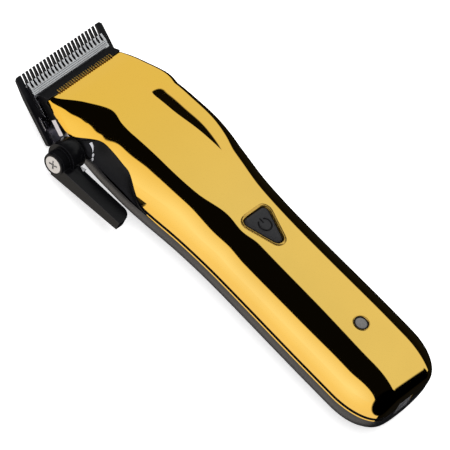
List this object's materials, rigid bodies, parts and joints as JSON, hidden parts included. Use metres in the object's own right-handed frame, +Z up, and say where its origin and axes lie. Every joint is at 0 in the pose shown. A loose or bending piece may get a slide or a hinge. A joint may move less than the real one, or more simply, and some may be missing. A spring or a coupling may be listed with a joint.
{
  "type": "hair clipper",
  "caption": "Cordless hair clipper with a toothed blade set, a taper lever, a thumb button and a charge light on a plated top shell, and a dark lower shell.",
  "frame": {"origin": "on the flat of the underside, halfway along the body, in the middle of its width", "axes": "+X points to the cutting head, +Y to the side with the taper lever, +Z up through the power button"},
  "size_m": [0.1801, 0.0574, 0.0308],
  "materials": {
    "gold_chrome": "mirror plated plastic",
    "black_satin": "satin",
    "grey_plastic": "fine moulded grain",
    "black_steel": "black coated steel",
    "ground_steel": "ground",
    "bracket_metal": "satin",
    "black_gloss": "gloss",
    "chrome": "polished",
    "frame_plastic": "moulded",
    "white_plastic": "moulded",
    "spring_steel": "drawn wire",
    "can_steel": "zinc plated",
    "brass": "satin",
    "copper_laminate": "wound laminations",
    "lead_sleeve": "flexible sleeve",
    "cell_wrap": "shrink wrap",
    "board_green": "solder mask",
    "rubber_button": "soft matt",
    "lens": "frosted"
  },
  "bodies": {
    "housing": {"upper_housing": "gold_chrome", "lower_housing": "black_satin", "head_frame": "grey_plastic", "cutter_spring": "spring_steel", "lever_washer": "ground_steel", "yoke_pin": "ground_steel", "motor_can": "can_steel", "motor_end_cap": "frame_plastic", "motor_bushing": "brass", "motor_mount": "frame_plastic", "motor_screws": "ground_steel", "motor_leads": "lead_sleeve", "battery_cell": "cell_wrap", "battery_tabs": "can_steel", "circuit_board": "board_green", "tact_switch": "can_steel", "indicator_led": "lens", "indicator_lens": "lens", "charge_socket": "frame_plastic", "housing_screws": "chrome", "inner_frame": "frame_plastic", "button_bezel": "gold_chrome", "lens_bezel": "gold_chrome"},
    "blade_set": {"stationary_blade": "black_steel", "blade_bracket": "bracket_metal", "blade_screws": "chrome"},
    "cutter": {"moving_blade": "ground_steel", "cutter_guide": "white_plastic"},
    "lever": {"taper_lever": "black_gloss", "lever_cam": "ground_steel", "lever_ring": "black_gloss", "lever_screw": "chrome"},
    "rotor": {"motor_rotor": "copper_laminate", "motor_shaft": "ground_steel", "crank_disc": "brass", "crank_roller": "ground_steel"},
    "yoke": {"drive_yoke": "white_plastic"},
    "button": {"power_button": "rubber_button"}
  },
  "joints": [
    {"name": "lever_swing", "type": "hinge", "parent": "housing", "child": "lever", "pos_m": [0.057, 0, 0.011], "axis": [0, 1, 0], "range_deg": [0, 38]},
    {"name": "blade_shift", "type": "slide", "parent": "housing", "child": "blade_set", "axis": [0.866, 0, 0.5], "range_m": [-0.0017, 0]},
    {"name": "rotor_spin", "type": "hinge", "parent": "housing", "child": "rotor", "pos_m": [0.038, 0, 0.015], "axis": [1, 0, 0], "continuous": true},
    {"name": "yoke_swing", "type": "hinge", "parent": "housing", "child": "yoke", "pos_m": [0.05, 0, 0.015], "axis": [0, 0, 1], "range_deg": [-2.5, 2.5]},
    {"name": "cutter_slide", "type": "slide", "parent": "housing", "child": "cutter", "axis": [0, 1, 0], "range_m": [-0.00102, 0.00102]},
    {"name": "button_press", "type": "slide", "parent": "housing", "child": "button", "axis": [0, 0, -1], "range_m": [0, 0.0005], "stiffness_N_per_m": 800, "springref_m": -0.0004}
  ],
  "couplings": [
    {"joint": "blade_shift", "follows": "lever_swing", "m_per_rad": -0.00226},
    {"joint": "cutter_slide", "follows": "yoke_swing", "m_per_rad": 0.023}
  ]
}
